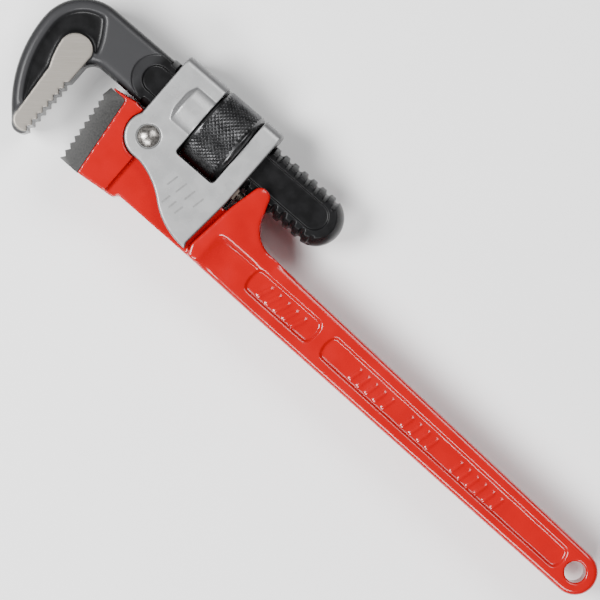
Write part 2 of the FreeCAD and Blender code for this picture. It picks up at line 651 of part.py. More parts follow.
def make_nut():
    """The knurled nut that moves the jaw. Its own axes start at the middle of its front face."""
    body = new_body("adjusting_nut")
    bore = "(thread_radius - thread_depth + thread_gap)"
    rim, bend = "nut_radius - nut_round", "nut_round * (1 - sin(45 deg))"
    ring = new_sketch(body, "ring")
    outline(ring, [
        ("0", f"{bore} + nut_mouth"),
        ("nut_mouth", bore),
        ("nut_width - nut_mouth", bore),
        ("nut_width", f"{bore} + nut_mouth"),
        ("nut_width", rim),
        ((f"nut_width - {bend}", f"nut_radius - {bend}"), ("nut_width - nut_round", "nut_radius")),
        ("nut_round", "nut_radius"),
        ((bend, f"nut_radius - {bend}"), ("0", rim)),
    ])
    turn(body, ring)

    # The groove follows the crest of the shank's thread, starting a pitch ahead of the nut.
    behind = f"(({WINDOW_START} + nut_side_gap + thread_lead + thread_pitch / 2) % thread_pitch)"
    middle = f"(-{behind} - thread_pitch)"
    crest, foot = "(crest_half + 2 * thread_gap)", "(thread_pitch / 2 - ridge_half)"
    groove = new_sketch(body, "nut_thread")
    outline(groove, [
        (f"{middle} - {foot}", f"{bore} - groove_lip"),
        (f"{middle} + {foot}", f"{bore} - groove_lip"),
        (f"{middle} + {foot}", bore),
        (f"{middle} + {crest}", "thread_radius + thread_gap"),
        (f"{middle} - {crest}", "thread_radius + thread_gap"),
        (f"{middle} - {foot}", bore),
    ])
    wind(body, groove, "thread_pitch", "ceil(nut_width / thread_pitch) + 3", removes=True)
    place(body, f"{WINDOW_START} + nut_side_gap", "thread_axis")


# ---------------------------------------------------------------- frame

def make_frame():
    """The cast frame: two bands round the shank, joined under the nut by cheeks that carry the pin."""
    body = new_body("frame")
    plate = new_sketch(body, "plate")
    outline(plate, [
        ("-front_reach", ROOF_TOP),
        (FRAME_REAR, ROOF_TOP),
        (FRAME_REAR, "cheek_bend_y"),
        (f"{FRAME_REAR} - cheek_foot_in", "cheek_foot_y"),
        (f"{FRAME_REAR} - cheek_tip_in", "cheek_tip_y"),
        (("sweep_mid_x", "sweep_mid_y"), ("swell_x", "swell_y")),
        (("swell_mid_x", "swell_mid_y"), ("swell_start_x", "-lug_radius")),
        ("0", "-lug_radius"),
        (("-lug_radius * cos(35 deg)", "-lug_radius * sin(35 deg)"),
         ("-front_reach", "sqrt(lug_radius ^ 2 - front_reach ^ 2)")),
    ])
    pad(body, plate, OUTER)
    top, side = reckon(ROOF_TOP), reckon(OUTER)
    round_edges(body, "roof_round", "roof_round",
                lambda edge: level_edge(edge, side) and edge.BoundBox.YMin > top - NEAR)
    seam = top - reckon("roof_round")
    round_edges(body, "cast_round", "cast_round",
                lambda edge: level_edge(edge, side) and edge.BoundBox.YMin < seam - NEAR)

    boss = new_sketch(body, "boss", rise="thread_axis")
    outline(boss, [
        ("boss_start", "thread_radius"),
        (WINDOW_START, "thread_radius"),
        (WINDOW_START, "boss_radius"),
        ("boss_start + boss_ramp", "boss_radius"),
        ("boss_start", "boss_radius - boss_ramp"),
    ])
    turn(body, boss)

    tunnel = new_sketch(body, "tunnel", "YZ_Plane")
    rectangle(tunnel, TUNNEL_FLOOR, f"-{INNER}", f"thread_axis + {TUNNEL_HALF}", INNER)
    cut_through(body, tunnel)
    corner = reckon(INNER)
    round_edges(body, "tunnel_round", "tunnel_round", lambda edge: level_edge(edge, corner)
                and edge.BoundBox.YLength < NEAR and edge.BoundBox.YMin > top / 2)
    mouth = new_sketch(body, "mouth")
    rectangle(mouth, "-2 * front_reach", TUNNEL_FLOOR,
              "mouth_depth - front_reach", f"thread_axis + {TUNNEL_HALF}")
    cut_through(body, mouth, "neck_half + slide_gap")
    slot = new_sketch(body, "slot", "YZ_Plane")
    rectangle(slot, "-2 * roof - nut_radius - boss_radius", f"-{INNER}", FLOOR_UNDER, INNER)
    cut_through(body, slot)
    front_slot = new_sketch(body, "front_slot")
    rectangle(front_slot, "-2 * front_reach", f"{FLOOR_UNDER} - {SPARE}",
              WINDOW_START, f"{TUNNEL_FLOOR} + {SPARE}")
    cut_through(body, front_slot, INNER)
    window = new_sketch(body, "window")
    bend = "window_round * (1 - sin(45 deg))"
    outline(window, [
        (WINDOW_START, f"{WINDOW_FLOOR} + window_round"),
        ((f"{WINDOW_START} + {bend}", f"{WINDOW_FLOOR} + {bend}"),
         (f"{WINDOW_START} + window_round", WINDOW_FLOOR)),
        (f"{WINDOW_END} - window_round", WINDOW_FLOOR),
        ((f"{WINDOW_END} - {bend}", f"{WINDOW_FLOOR} + {bend}"),
         (WINDOW_END, f"{WINDOW_FLOOR} + window_round")),
        (WINDOW_END, f"{ROOF_TOP} + roof"),
        (WINDOW_START, f"{ROOF_TOP} + roof"),
    ])
    cut_through(body, window)

    pin_hole = new_sketch(body, "pin_hole")
    circle(pin_hole, "0", "0", "pin_radius")
    cut_through(body, pin_hole)
    relieve(body, "pin_seat", f"{OUTER} - pin_sink",
            lambda sketch: circle(sketch, "0", "0", "pin_head_radius + pin_seat_gap"))

    bed = new_sketch(body, "bed")
    rectangle(bed, f"{WINDOW_END} - {SPARE}", f"{TUNNEL_FLOOR} - leaf_thick",
              f"{FRAME_REAR} + {SPARE}", f"{TUNNEL_FLOOR} + {SPARE}")
    cut_through(body, bed, "leaf_half + leaf_gap")
    rivet_hole = new_sketch(body, "rivet_hole", "YZ_Plane", lift=FRAME_REAR)
    circle(rivet_hole, SPRING_AXIS, "0", "rivet_radius")
    cut_one_way(body, rivet_hole, "rivet_length - leaf_thick")
    place(body)


def make_frame_pin():
    """The pin that the frame rocks on, with both ends closed into domes."""
    body = new_body("frame_pin")
    head, rim = "pin_head_radius", f"({OUTER} - pin_sink / 2)"
    rise = f"({OUTER} + pin_head_rise - {rim})"
    ball = dome(head, rise)
    bulge = f"({OUTER} + pin_head_rise - {ball} + sqrt({ball} ^ 2 - {head} ^ 2 / 4))"
    half = new_sketch(body, "rivet", "XZ_Plane")
    outline(half, [
        ("0", f"-{OUTER} - pin_head_rise"),
        ((f"{head} / 2", f"-{bulge}"), (head, f"-{rim}")),
        (head, f"-{OUTER} + pin_sink"),
        ("pin_radius", f"-{OUTER} + pin_sink"),
        ("pin_radius", f"{OUTER} - pin_sink"),
        (head, f"{OUTER} - pin_sink"),
        (head, rim),
        ((f"{head} / 2", bulge), ("0", f"{OUTER} + pin_head_rise")),
    ])
    turn(body, half, "V_Axis")
    place(body)


# ---------------------------------------------------------------- handle and lower jaw

def lip_under(along):
    """Height of the lip's underside over the insert's sloping top, in the leaning axes."""
    slope = "(heel_chin_y - heel_crown_y) / (heel_depth - heel_chin_x)"
    return f"(heel_chin_y - {slope} * ({along} - heel_chin_x) + seat_gap)"


def bowed(front, rear, corners, bow):
    """The outline of a panel with bulging ends. The corners are its heights, front top to rear top."""
    front_top, front_foot, rear_foot, rear_top = corners
    return [
        (front, front_top),
        ((f"{front} - {bow}", f"({front_top} + {front_foot}) / 2"), (front, front_foot)),
        (rear, rear_foot),
        ((f"{rear} + {bow}", f"({rear_top} + {rear_foot}) / 2"), (rear, rear_top)),
    ]


def sink_panel(body, name, path):
    """A shallow panel on both sides of the grip, with rounded corners and rims."""
    feature = relieve(body, name, "grip_half - recess", lambda sketch: outline(sketch, path))
    span = feature.Originals[0].Profile[0].Shape.BoundBox
    bottom = reckon("grip_half - recess")

    def inside(edge):
        box = edge.BoundBox
        return (box.XMin > span.XMin - SLACK and box.XMax < span.XMax + SLACK
                and box.YMin > span.YMin - SLACK and box.YMax < span.YMax + SLACK)

    def foot(edge):
        return min(abs(edge.BoundBox.ZMin), abs(edge.BoundBox.ZMax))

    round_edges(body, f"{name}_corners", "recess_corner",
                lambda edge: inside(edge) and edge.BoundBox.ZLength > SLACK
                and abs(foot(edge) - bottom) < NEAR)
    round_edges(body, f"{name}_rim", "recess_round",
                lambda edge: inside(edge) and foot(edge) > bottom + SLACK)


def make_handle():
    """The handle: head with the insert's seat, thin neck between the cheeks, horned root and long grip."""
    body = new_body("handle")
    seat = "heel_depth + seat_gap"
    silhouette = new_sketch(body, "silhouette")
    outline(silhouette, [
        leaned(seat, "-heel_heel"),
        ("head_low_x", "head_low_y"),
        ("chin_x", "chin_y"),
        (aft("throat_low_x"), "throat_low_y"),
        (aft("belly_x"), "belly_y"),
        ("tail_x", "tail_y - tail_radius"),
        (("tail_x + tail_radius", "tail_y"), ("tail_x", "tail_y + tail_radius")),
        (aft("grip_start_x"), "grip_start_y"),
        ((aft("horn_curve_x"), "horn_curve_y"), (aft("horn_back_x"), "horn_back_y")),
        (aft("horn_rear_x"), "horn_rear_y"),
        ((aft("horn_tip_x"), "horn_tip_y"), (aft("horn_front_x"), "horn_front_y")),
        (aft("saddle_rear_x"), SADDLE_REAR),
        ("saddle_front_x", f"{WINDOW_FLOOR} - saddle_front_drop"),
        ("eye_radius * cos(40 deg)", "eye_radius * sin(40 deg)"),
        (("eye_radius * cos(65 deg)", "eye_radius * sin(65 deg)"), ("0", "eye_radius")),
        ("notch_x", "notch_y"),
        ("head_top_x", "head_top_y"),
        (("head_slope_x", "head_slope_y"), leaned("lip_front", f"{lip_under('lip_front')} + lip_thick")),
        leaned("lip_front", lip_under("lip_front")),
        leaned(seat, lip_under(f"({seat})")),
    ])
    pad(body, silhouette, "horn_half")

    profile = new_sketch(body, "profile", "XZ_Plane")
    outline(profile, [
        ("2 * heel_x", "head_half"),
        ("chin_x + pin_radius", "head_half"),
        ("chin_x + pin_radius", "horn_half"),
        (aft("taper_start"), "horn_half"),
        (aft("taper_end"), "grip_half"),
        ("tail_x + 2 * tail_radius", "grip_half"),
        ("tail_x + 2 * tail_radius", "2 * horn_half"),
        ("2 * heel_x", "2 * horn_half"),
    ])
    mirror(body, cut_through(body, profile))
    scoop = new_sketch(body, "scoop", "XZ_Plane", lift="-scoop_top")
    outline(scoop, [
        (aft("scoop_x"), "horn_half"),
        ((aft("scoop_mid_x"), "scoop_mid_z"), (aft("scoop_end"), "grip_half")),
        (aft("taper_end"), "grip_half"),
        (aft("taper_end"), "2 * horn_half"),
        (aft("scoop_x"), "2 * horn_half"),
    ])
    mirror(body, cut_one_way(body, scoop, forward=True))
    side, thinned = reckon("grip_half"), reckon(aft("taper_end"))
    round_edges(body, "grip_round", "grip_round",
                lambda edge: level_edge(edge, side) and edge.BoundBox.XMax > thinned + NEAR)
    face, foot, rear, brow = (reckon(name) for name in ("head_half", "chin_y", "chin_x", "head_top_x"))

    def of_head(edge):
        box = edge.BoundBox
        sloping_top = isinstance(edge.Curve, Part.Circle) and box.XMax < brow + NEAR
        return level_edge(edge, face) and box.XMax < rear + NEAR and (box.YMax < foot + NEAR or sloping_top)
    round_edges(body, "head_round", "head_round", of_head)

    def neck(sketch):
        front = "(front_reach + lug_gap)"
        outline(sketch, [
            ("head_back", "2 * cheek_tip_y"),
            ("head_back", f"-sqrt({LUG_CLEAR} ^ 2 - head_back ^ 2)"),
            ((f"-{LUG_CLEAR} * cos(30 deg)", f"-{LUG_CLEAR} * sin(30 deg)"),
             (f"-{front}", f"sqrt({LUG_CLEAR} ^ 2 - {front} ^ 2)")),
            (f"-{front}", "2 * thread_axis"),
            (aft("shoulder_x"), "2 * thread_axis"),
            (aft("shoulder_x"), "0"),
            (aft("shoulder_low_x"), "shoulder_low_y"),
            (aft("shoulder_foot_x"), "throat_low_y"),
            (aft("shoulder_foot_x"), "2 * cheek_tip_y"),
        ])
    relieve(body, "neck", "shank_half", neck)
    slot = new_sketch(body, "horn_slot")
    rectangle(slot, FRAME_REAR, "thread_axis - thread_radius - slot_gap",
              aft("grip_start_x"), "2 * thread_axis")
    cut_through(body, slot, INNER)

    coil_seat = new_sketch(body, "coil_seat", "YZ_Plane", lift=f"{HORN_FACE} + coil_pocket")
    circle(coil_seat, SPRING_AXIS, "0", "coil_radius + wire_radius + coil_gap")
    cut_one_way(body, coil_seat, "2 * coil_pocket + leaf_tab")

    sink_panel(body, "badge", bowed(
        aft("badge_front"), aft("badge_rear"),
        ("badge_top", "badge_foot", "badge_foot - badge_fall", "badge_top - badge_fall"), "badge_bow"))
    sink_panel(body, "long_panel", bowed(
        aft("long_front"), "(tail_x - long_rear)",
        ("long_top_front", "long_foot_front", "long_foot_rear", "long_top_rear"), "long_bow"))

    hang_hole = new_sketch(body, "hang_hole")
    circle(hang_hole, "tail_x", "tail_y", "hang_radius")
    cut_through(body, hang_hole)
    middle, bore = reckon("tail_x"), reckon("hang_radius")
    round_edges(body, "hang_round", "hang_round", lambda edge: isinstance(edge.Curve, Part.Circle)
                and abs(edge.Curve.Center.x - middle) < NEAR and abs(edge.Curve.Radius - bore) < NEAR)
    pin_hole = new_sketch(body, "pin_hole")
    circle(pin_hole, "0", "0", "pin_radius + pin_gap")
    cut_through(body, pin_hole)

    tongue_slot = new_sketch(body, "tongue_slot")
    near, deep = "heel_depth - seat_gap", "heel_depth + tongue_depth + seat_gap"
    high, low = "-tongue_top + seat_gap", "-tongue_foot - seat_gap"
    outline(tongue_slot, [leaned(near, low), leaned(deep, low), leaned(deep, high), leaned(near, high)])
    cut_through(body, tongue_slot, "tongue_half + seat_gap")
    jaw_pin_hole = new_sketch(body, "jaw_pin_hole", lift="-head_half")
    circle(jaw_pin_hole, *JAW_PIN, "jaw_pin_radius + jaw_pin_gap")
    cut_one_way(body, jaw_pin_hole, "jaw_pin_depth", forward=True)
    place(body)


def make_lower_jaw():
    """The toothed insert, drawn upright in its own leaning axes, with a tongue that enters the handle."""
    body = new_body("lower_jaw")
    plate = new_sketch(body, "plate")
    outline(plate, [
        ("heel_chin_x", "heel_chin_y"),
        ("heel_depth", "heel_crown_y"),
        ("heel_depth", "-heel_heel"),
        ("0", "-heel_foot"),
        ("0", "0"),
    ])
    pad(body, plate, "heel_half")
    corner = Vector(reckon("heel_depth"), reckon("heel_crown_y"), 0)
    round_edges(body, "crown_round", "heel_crown_round",
                lambda edge: upright(edge) and edge.distToShape(Part.Vertex(corner))[0] < NEAR)
    teeth(body, "0", "-heel_tooth_pitch / 2", "heel_tooth_pitch", "heel_tooth_depth", "heel_tooth_count", "-")
    tongue = new_sketch(body, "tongue")
    rectangle(tongue, "heel_depth - seat_gap", "-tongue_foot", "heel_depth + tongue_depth", "-tongue_top")
    pad(body, tongue, "tongue_half")
    pin_hole = new_sketch(body, "pin_hole")
    circle(pin_hole, "heel_depth + tongue_depth / 2", "-jaw_pin_drop", "jaw_pin_radius + jaw_pin_gap")
    cut_through(body, pin_hole)
    place(body, "heel_x", "heel_y")
    body.Placement.Rotation = FreeCAD.Rotation(Vector(0, 0, 1), reckon("heel_lean"))
    bind(body, "Placement.Rotation.Angle", "heel_lean * 1 deg")


def make_jaw_pin():
    """The blind pin that holds the insert's tongue, pressed in from the far side."""
    body = new_body("jaw_pin")
    section = new_sketch(body, "section", lift="jaw_pin_depth / 2 - head_half")
    circle(section, "0", "0", "jaw_pin_radius")
    pad(body, section, "jaw_pin_depth / 2 - jaw_pin_gap")
    place(body, *JAW_PIN)


# ---------------------------------------------------------------- springs

def make_leaf_spring():
    """The flat spring bedded in the frame's rear floor, with a tab turned down over the rear face."""
    body = new_body("leaf_spring")
    strip = new_sketch(body, "strip")
    under, low = f"({TUNNEL_FLOOR} - leaf_thick)", f"({TUNNEL_FLOOR} - leaf_thick - leaf_tab)"
    front = f"({WINDOW_END} + leaf_front_gap)"
    outline(strip, [
        (front, under),
        (FRAME_REAR, under),
        (FRAME_REAR, low),
        (TAB_FACE, low),
        (TAB_FACE, under),
        ((f"{TAB_FACE} - leaf_thick * (1 - sin(45 deg))", f"{under} + leaf_thick * sin(45 deg)"),
         (FRAME_REAR, TUNNEL_FLOOR)),
        (front, TUNNEL_FLOOR),
    ])
    pad(body, strip, "leaf_half")
    hole = new_sketch(body, "rivet_hole", "YZ_Plane")
    circle(hole, SPRING_AXIS, "0", "rivet_radius")
    cut_through(body, hole)
    place(body)


def make_spring_rivet():
    """The small rivet through the tab. Its head keeps the coil spring in place."""
    body = new_body("spring_rivet")
    half = new_sketch(body, "section")
    ball = dome("rivet_head", "rivet_rise")
    outline(half, [
        ("-rivet_length", "0"),
        ("-rivet_length", "rivet_radius"),
        ("0", "rivet_radius"),
        ("0", "rivet_head"),
        ((f"rivet_rise - {ball} + sqrt({ball} ^ 2 - rivet_head ^ 2 / 4)", "rivet_head / 2"),
         ("rivet_rise", "0")),
    ])
    turn(body, half)
    place(body, TAB_FACE, SPRING_AXIS)


def make_coil_spring():
    """The coil spring between the tab and the horn, which keeps the frame tilted forward."""
    body = new_body("coil_spring")
    wire = new_sketch(body, "wire", "XY_Plane")
    circle(wire, "wire_radius", "coil_radius", "wire_radius")
    room = f"({HORN_FACE} + coil_pocket - {TAB_FACE} - 2 * coil_gap - 2 * wire_radius)"
    wind(body, wire, f"{room} / coil_turns", "coil_turns", removes=False)
    place(body, f"{TAB_FACE} + coil_gap", SPRING_AXIS)


# ---------------------------------------------------------------- output

def finish():
    """Checks every object and writes each body to its own file."""
    doc.recompute()
    faults = [thing.Name for thing in doc.Objects if {"Invalid", "Error"} & set(thing.State)]
    if faults:
        raise RuntimeError(f"these objects failed: {faults}")
    os.makedirs("parts", exist_ok=True)
    for body in doc.findObjects("PartDesign::Body"):
        if body.Shape.isNull() or not body.Shape.isValid():
            raise RuntimeError(f"{body.Label} has no sound shape")
        body.Shape.exportStep(f"parts/{body.Label}.step")
        print(f"{body.Label}: {body.Shape.Volume:.1f} mm3, {len(body.Shape.Solids)} solid(s)")


slate = doc.addObject("App::VarSet", "slate")
write_sheet()
for make in (make_hook_jaw, make_nut, make_frame, make_frame_pin, make_handle, make_lower_jaw,
             make_jaw_pin, make_leaf_spring, make_spring_rivet, make_coil_spring):
    make()
finish()
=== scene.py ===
"""Looks of a heavy-duty pipe wrench lying on a pale table, laid out as an add-on.

Each operator dresses one piece or one group of pieces of the packed frame. The castings and the hook jaw are
rebuilt on a fine grid so that their edges soften, the nut gets its knurl, and every piece gets its material.
Lengths are metres, and MM turns millimetres into them.
"""
import json
import math

import bmesh
import bpy
import numpy as np
from bpy.props import FloatProperty, FloatVectorProperty, IntProperty, PointerProperty
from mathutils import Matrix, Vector


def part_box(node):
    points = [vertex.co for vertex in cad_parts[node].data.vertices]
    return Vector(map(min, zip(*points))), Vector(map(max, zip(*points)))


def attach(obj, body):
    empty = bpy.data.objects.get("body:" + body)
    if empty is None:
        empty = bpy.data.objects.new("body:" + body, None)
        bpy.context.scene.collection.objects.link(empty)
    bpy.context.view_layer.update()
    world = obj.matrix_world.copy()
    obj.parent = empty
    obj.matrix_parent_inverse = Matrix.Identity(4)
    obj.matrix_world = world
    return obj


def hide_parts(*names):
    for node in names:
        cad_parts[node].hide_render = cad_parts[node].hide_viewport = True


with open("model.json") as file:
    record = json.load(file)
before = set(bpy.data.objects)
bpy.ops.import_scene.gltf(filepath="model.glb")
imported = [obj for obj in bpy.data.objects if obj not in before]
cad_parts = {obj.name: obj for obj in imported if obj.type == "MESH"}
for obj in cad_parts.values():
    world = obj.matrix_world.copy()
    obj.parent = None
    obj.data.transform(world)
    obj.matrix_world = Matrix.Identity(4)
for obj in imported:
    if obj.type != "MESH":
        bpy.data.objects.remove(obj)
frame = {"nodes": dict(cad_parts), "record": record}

bl_info = {
    "name": "Pipe wrench looks",
    "version": (1, 0, 0),
    "blender": (4, 5, 0),
    "location": "3D View > Sidebar > Wrench",
    "description": "Dresses the pieces of a pipe wrench and sets up its stage",
    "category": "Object",
}

MM = 0.001
NODES = frame["nodes"]
BODY_OF = {node: body for body, nodes in frame["record"]["behaviour"]["bodies"].items() for node in nodes}
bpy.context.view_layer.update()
PIN = Vector((-95.35, -1.2, 16.7)) * MM          # the frame pin's middle, which the drawings start from
AXIS = PIN + Vector((0, 19.5, 0)) * MM            # the shank's axis, over the pin


# ---------------------------------------------------------------- settings

class SoftSettings(bpy.types.PropertyGroup):
    """How finely the cast and forged pieces are rebuilt, and how soft their edges get."""
    handle_cell: FloatProperty(name="Handle cell", description="Cell size of the rebuilt handle",
                               default=0.46 * MM, unit="LENGTH", precision=5)
    frame_cell: FloatProperty(name="Frame cell", description="Cell size of the rebuilt frame",
                              default=0.36 * MM, unit="LENGTH", precision=5)
    jaw_cell: FloatProperty(name="Jaw cell", description="Cell size of the rebuilt hook jaw",
                            default=0.36 * MM, unit="LENGTH", precision=5)
    thread_cell: FloatProperty(name="Thread cell", description="Cell size of the rebuilt thread",
                               default=0.24 * MM, unit="LENGTH", precision=5)
    passes: IntProperty(name="Passes", description="Smoothing passes over the handle and the frame",
                        default=6, min=0)
    root_passes: IntProperty(name="Root passes", description="Further passes over the handle's root",
                             default=40, min=0)
    rim_passes: IntProperty(name="Rim passes", description="Further passes over the hook's forged rim",
                            default=60, min=0)
    most_faces: IntProperty(name="Most faces", description="Triangles that one piece may have", default=190000)


class KnurlSettings(bpy.types.PropertyGroup):
    """The diamond knurl round the adjusting nut."""
    around: IntProperty(name="Around", description="Diamonds round the nut", default=52, min=8)
    rows: IntProperty(name="Rows", description="Rows of diamonds along the nut", default=15, min=1)
    start: FloatProperty(name="Start", description="Front edge of the knurl behind the nut's face",
                         default=1.3 * MM, unit="LENGTH", precision=5)
    length: FloatProperty(name="Length", description="Length of the knurled band", default=15.6 * MM,
                          unit="LENGTH", precision=5)
    rise: FloatProperty(name="Rise", description="Height of each diamond", default=0.4 * MM, unit="LENGTH",
                        precision=5)


class StageSettings(bpy.types.PropertyGroup):
    """Camera and lights."""
    centre: FloatVectorProperty(name="Centre", description="Point that the camera looks at",
                                default=(-0.00595, -0.0112, 0.0237), subtype="XYZ", unit="LENGTH", precision=5)
    field: FloatProperty(name="Field", description="Width of the view at that point", default=0.2429,
                         unit="LENGTH", precision=4)
    distance: FloatProperty(name="Distance", description="Camera above that point", default=1.4, unit="LENGTH")
    roll: FloatProperty(name="Roll", description="Turn of the camera about its view",
                        default=math.radians(40.85), subtype="ANGLE")


# ---------------------------------------------------------------- meshes

def new_object(name, mesh, *materials):
    """A linked object at the origin with these materials."""
    obj = bpy.data.objects.new(name, mesh)
    bpy.context.scene.collection.objects.link(obj)
    mesh.materials.clear()
    for material in materials:
        mesh.materials.append(material)
    return obj


def joined(node):
    """A copy of a CAD node's mesh with its loose triangles joined up."""
    mesh = NODES[node].data.copy()
    form = bmesh.new()
    form.from_mesh(mesh)
    bmesh.ops.remove_doubles(form, verts=form.verts, dist=1e-7)
    bmesh.ops.recalc_face_normals(form, faces=form.faces)
    form.to_mesh(mesh)
    form.free()
    return mesh


def places(mesh):
    """The mesh's vertices as an array."""
    points = np.zeros(len(mesh.vertices) * 3)
    mesh.vertices.foreach_get("co", points)
    return points.reshape(-1, 3)


def settle(obj, mesh):
    """Puts a new mesh in an object and drops the old one."""
    old = obj.data
    obj.data = mesh
    bpy.data.meshes.remove(old)


def bake(obj):
    """Turns the object's modifiers into plain mesh."""
    graph = bpy.context.evaluated_depsgraph_get()
    mesh = bpy.data.meshes.new_from_object(obj.evaluated_get(graph), depsgraph=graph)
    obj.modifiers.clear()
    settle(obj, mesh)


def remesh(obj, cell, passes):
    """Rebuilds the object on a fine even grid and smooths it, which rounds every edge a little."""
    grid = obj.modifiers.new("Grid", "REMESH")
    grid.mode = "VOXEL"
    grid.voxel_size = cell
    smooth = obj.modifiers.new("Smooth", "SMOOTH")
    smooth.factor = 0.5
    smooth.iterations = passes
    bake(obj)


def relax(obj, passes, weigh):
    """Smooths further where weigh, a function of the vertices' places, gives more than nothing."""
    weights = np.clip(weigh(places(obj.data)), 0, 1)
    group = obj.vertex_groups.new(name="soft")
    for level in range(1, 11):
        picked = np.flatnonzero(np.round(weights * 10) == level)
        group.add(picked.tolist(), level / 10, "REPLACE")
    smooth = obj.modifiers.new("Smooth", "SMOOTH")
    smooth.factor = 0.5
    smooth.iterations = passes
    smooth.vertex_group = group.name
    bake(obj)
    obj.vertex_groups.clear()


def thin_out(obj, most):
    """Brings the mesh down to at most this many triangles."""
    obj.data.calc_loop_triangles()
    count = len(obj.data.loop_triangles)
    if count > most:
        fewer = obj.modifiers.new("Fewer", "DECIMATE")
        fewer.ratio = most / count
        bake(obj)


def ramp(values, low, high):
    """0 below low, 1 above high, and a straight line between."""
    return np.clip((values - low) / (high - low), 0, 1)


def bar(form, start, end, width, low, high):
    """A straight bar with round ends between two points in plan, from one height to another."""
    along = (end - start).normalized()
    side = Vector((-along.y, along.x))
    rim = []
    for centre, turn in ((end, -90), (start, 90)):
        for step in range(7):
            angle = math.radians(turn + 30 * step)
            rim.append(centre + (along * math.cos(angle) + side * math.sin(angle)) * width / 2)
    lower = [form.verts.new((p.x, p.y, low)) for p in rim]
    upper = [form.verts.new((p.x, p.y, high)) for p in rim]
    form.faces.new(lower[::-1])
    form.faces.new(upper)
    for number in range(len(rim)):
        after = (number + 1) % len(rim)
        form.faces.new((lower[number], lower[after], upper[after], upper[number]))


def keep_side(obj, x, front):
    """Keeps only what lies ahead of x, or behind it."""
    form = bmesh.new()
    form.from_mesh(obj.data)
    bmesh.ops.bisect_plane(form, geom=form.verts[:] + form.edges[:] + form.faces[:], plane_co=(x, 0, 0),
                           plane_no=(1, 0, 0), clear_outer=front, clear_inner=not front)
    form.to_mesh(obj.data)
    form.free()


def add_on(obj, body):
    """Ties a further piece to a body, shaded smooth."""
    for polygon in obj.data.polygons:
        polygon.use_smooth = True
    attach(obj, body)


def marks(name, body, strokes, low, high, shade):
    """Plain stamped strokes on the upper side, given as (x, y, run, rise) from the pin in millimetres."""
    form = bmesh.new()
    for x, y, run, rise in strokes:
        start = Vector((PIN.x + x * MM, PIN.y + y * MM))
        bar(form, start, start + Vector((run, rise)) * MM, 0.7 * MM, PIN.z + low, PIN.z + high)
    mesh = bpy.data.meshes.new(name)
    form.to_mesh(mesh)
    form.free()
    obj = new_object(name, mesh, shade)
    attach(obj, body)


def hand_over(obj, node):
    """Ties a finished piece to the body it belongs to and lets it stand for its CAD node."""
    for polygon in obj.data.polygons:
        polygon.use_smooth = True
    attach(obj, BODY_OF[node])
    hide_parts(node)


# ---------------------------------------------------------------- materials

def new_group(name, outputs, inputs=()):
    """An empty shader node group with these sockets: (name, kind, default)."""
    group = bpy.data.node_groups.new(name, "ShaderNodeTree")
    for label, kind, default in inputs:
        socket = group.interface.new_socket(label, in_out="INPUT", socket_type=f"NodeSocket{kind}")
        if default is not None:
            socket.default_value = default
    for label, kind in outputs:
        group.interface.new_socket(label, in_out="OUTPUT", socket_type=f"NodeSocket{kind}")
    return group


class Wiring:
    """Short calls for adding and linking shader nodes."""

    def __init__(self, tree):
        self.tree = tree

    def add(self, kind, **settings):
        node = self.tree.nodes.new(f"ShaderNode{kind}")
        for name, setting in settings.items():
            setattr(node, name, setting)
        return node

    def put(self, socket, source):
        if isinstance(source, bpy.types.NodeSocket):
            self.tree.links.new(source, socket)
        else:
            socket.default_value = source

    def maths(self, operation, *sources):
        node = self.add("Math", operation=operation)
        for number, source in enumerate(sources):
            self.put(node.inputs[number], source)
        return node.outputs[0]

    def spread(self, source, low, high, start=0.0, stop=1.0, smooth=False):
        node = self.add("MapRange", interpolation_type="SMOOTHSTEP" if smooth else "LINEAR")
        for name, number in (("From Min", low), ("From Max", high), ("To Min", start), ("To Max", stop)):
            self.put(node.inputs[name], number)
        self.put(node.inputs["Value"], source)
        return node.outputs["Result"]

    def mix(self, amount, first, second):
        node = self.add("Mix", data_type="RGBA")
        self.put(node.inputs["Factor"], amount)
        self.put(node.inputs["A"], first)
        self.put(node.inputs["B"], second)
        return node.outputs["Result"]

    def noise(self, place, scale, detail=3.0, roughness=0.55):
        node = self.add("TexNoise")
        self.put(node.inputs["Vector"], place)
        self.put(node.inputs["Scale"], scale)
        self.put(node.inputs["Detail"], detail)
        self.put(node.inputs["Roughness"], roughness)
        return node.outputs["Fac"]


def grain_group():
    """Cast or forged skin: a height with coarse and fine grain, and a mottled tone."""
    group = new_group("Skin", (("Height", "Float"), ("Mottle", "Float")),
                      (("Coarse", "Float", 180.0), ("Fine", "Float", 1400.0), ("Balance", "Float", 0.5)))
    wire = Wiring(group)
    source, sink = group.nodes.new("NodeGroupInput"), group.nodes.new("NodeGroupOutput")
    place = wire.add("TexCoord").outputs["Object"]
    coarse = wire.noise(place, source.outputs["Coarse"], 2.0)
    fine = wire.noise(place, source.outputs["Fine"], 4.0, 0.65)
    blend = wire.add("Mix", data_type="FLOAT")
    wire.put(blend.inputs["Factor"], source.outputs["Balance"])
    wire.put(blend.inputs["A"], coarse)
    wire.put(blend.inputs["B"], fine)
    wire.put(sink.inputs["Height"], blend.outputs["Result"])
    wire.put(sink.inputs["Mottle"], wire.spread(coarse, 0.3, 0.7, smooth=True))
    return group


